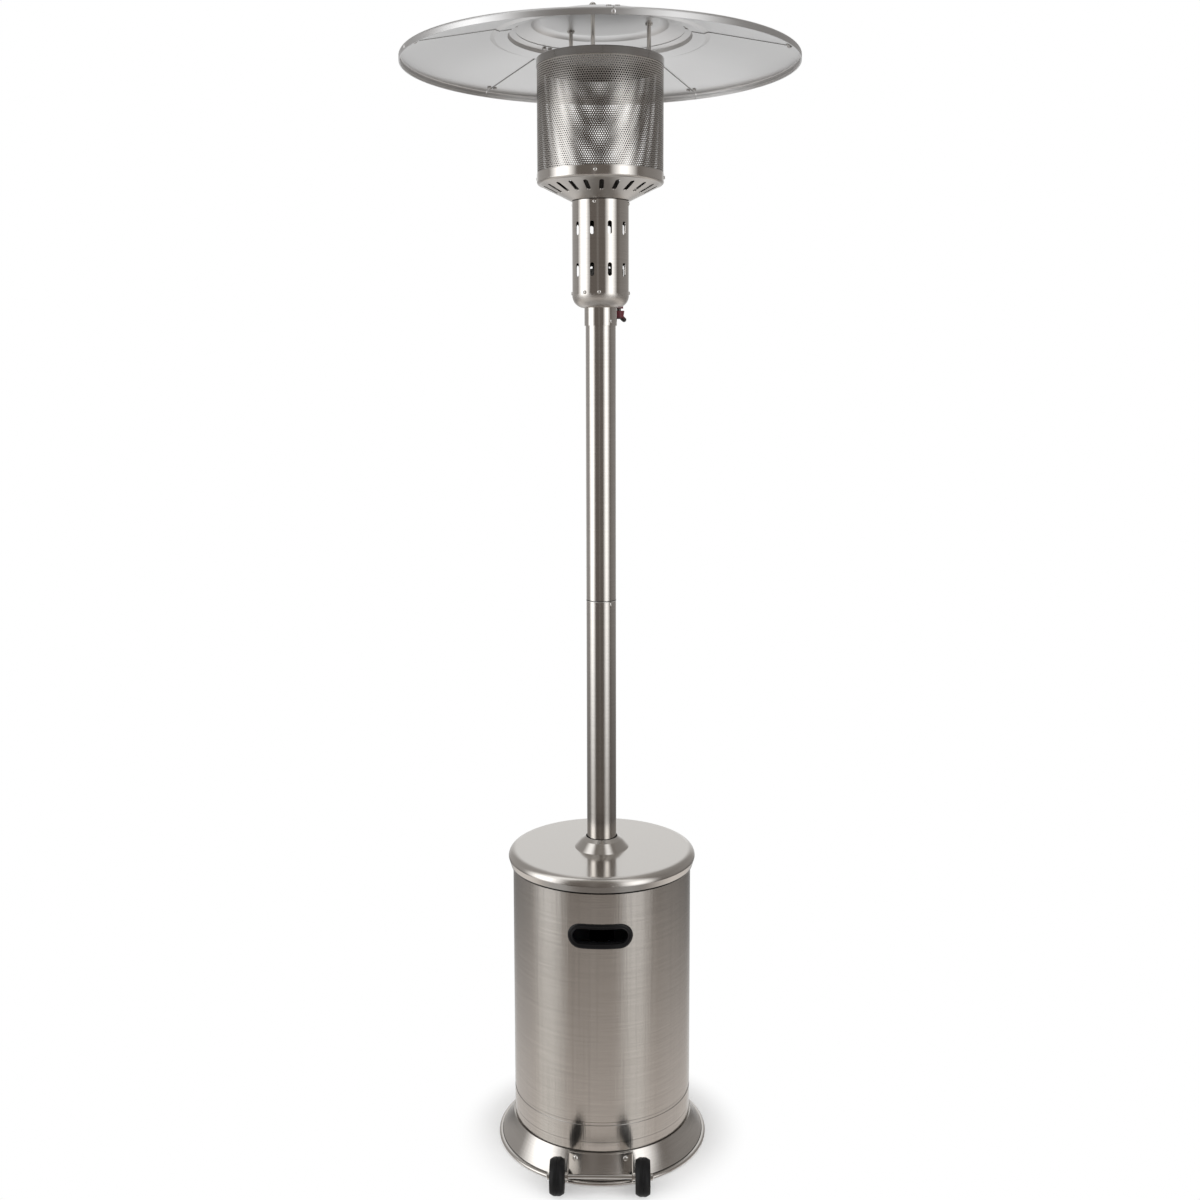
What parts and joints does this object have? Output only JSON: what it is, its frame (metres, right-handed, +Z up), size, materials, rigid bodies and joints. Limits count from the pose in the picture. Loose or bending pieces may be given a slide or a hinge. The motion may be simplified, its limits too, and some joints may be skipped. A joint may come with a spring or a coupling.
{
  "type": "gas patio heater",
  "caption": "Free-standing stainless gas patio heater with a lift-up bottle cover, pole, perforated emitter and petal reflector on a wheeled round base.",
  "frame": {"origin": "on the floor, on the pole's axis, under the centre of the base", "axes": "+Z up along the pole, wheels towards -Y, +X to the right seen from the wheels"},
  "size_m": [0.776, 0.776, 2.2733],
  "materials": {
    "stainless": "brushed, satin",
    "emitter_steel": "perforated, heat-tinted grey",
    "reflector_aluminium": "satin",
    "bright_hardware": "bright",
    "frame_paint": "zinc grey, satin",
    "bottle_paint": "grey paint, semi-gloss",
    "gas_brass": "machined",
    "regulator_alloy": "die-cast",
    "black_rubber": "matt",
    "black_plastic": "fine texture",
    "red_plastic": "dark red, semi-gloss"
  },
  "bodies": {
    "frame": {"axle_cap_nuts": "bright_hardware", "axle_spacers": "bright_hardware", "base_plate": "frame_paint", "base_skirt": "stainless", "bottle_valve": "gas_brass", "bracket_screws": "bright_hardware", "burner_dish": "stainless", "burner_head": "emitter_steel", "cap_nuts": "bright_hardware", "control_sleeve": "stainless", "emitter_cap": "stainless", "emitter_screen": "emitter_steel", "emitter_screws": "bright_hardware", "gas_bottle": "bottle_paint", "gas_hose": "black_rubber", "gas_jet": "gas_brass", "gas_valve": "gas_brass", "hose_grommet": "black_rubber", "ignition_electrode": "emitter_steel", "leg_bolts": "bright_hardware", "lower_pole": "stainless", "mixer_tube": "emitter_steel", "petal_bolts": "bright_hardware", "piezo_igniter": "black_plastic", "pilot_burner": "emitter_steel", "pole_coupler": "bright_hardware", "pole_screws": "bright_hardware", "pole_socket": "frame_paint", "reflector_disc": "reflector_aluminium", "reflector_petal_1": "reflector_aluminium", "reflector_petal_2": "reflector_aluminium", "reflector_petal_3": "reflector_aluminium", "reflector_petal_4": "reflector_aluminium", "reflector_petal_5": "reflector_aluminium", "reflector_studs": "bright_hardware", "regulator": "regulator_alloy", "regulator_nut": "gas_brass", "seam_plates": "reflector_aluminium", "sleeve_screws": "bright_hardware", "stud_nuts": "bright_hardware", "support_leg_1": "frame_paint", "support_leg_2": "frame_paint", "support_leg_3": "frame_paint", "thermocouple": "emitter_steel", "tilt_switch": "black_plastic", "upper_pole": "stainless", "valve_bracket": "frame_paint", "wheel_axle": "bright_hardware", "wheel_bracket": "frame_paint"},
    "tank_cover": {"tank_housing": "stainless", "housing_lid": "stainless", "handle_bezel": "black_plastic"},
    "wheel_left": {"wheel_hub_left": "black_plastic", "wheel_tyre_left": "black_rubber"},
    "wheel_right": {"wheel_hub_right": "black_plastic", "wheel_tyre_right": "black_rubber"},
    "valve_spindle": {"valve_spindle": "bright_hardware"},
    "control_knob": {"control_knob": "red_plastic"},
    "bottle_handwheel": {"bottle_handwheel": "black_plastic"}
  },
  "joints": [
    {"name": "cover_lift", "type": "slide", "parent": "frame", "child": "tank_cover", "axis": [0, 0, 1], "range_m": [0, 0.47]},
    {"name": "wheel_left_spin", "type": "hinge", "parent": "frame", "child": "wheel_left", "pos_m": [-0.083, -0.241, 0.037], "axis": [1, 0, 0], "continuous": true},
    {"name": "wheel_right_spin", "type": "hinge", "parent": "frame", "child": "wheel_right", "pos_m": [0.083, -0.241, 0.037], "axis": [1, 0, 0], "continuous": true},
    {"name": "valve_turn", "type": "hinge", "parent": "frame", "child": "valve_spindle", "pos_m": [0.036, 0.03, 1.7496], "axis": [0, 0, -1], "range_deg": [0, 110]},
    {"name": "knob_push", "type": "slide", "parent": "valve_spindle", "child": "control_knob", "axis": [0, 0, 1], "range_m": [0, 0.004], "stiffness_N_per_m": 800, "springref_m": -0.002},
    {"name": "bottle_valve_turn", "type": "hinge", "parent": "frame", "child": "bottle_handwheel", "pos_m": [0, 0, 0.419], "axis": [0, 0, 1], "range_deg": [0, 540]}
  ]
}
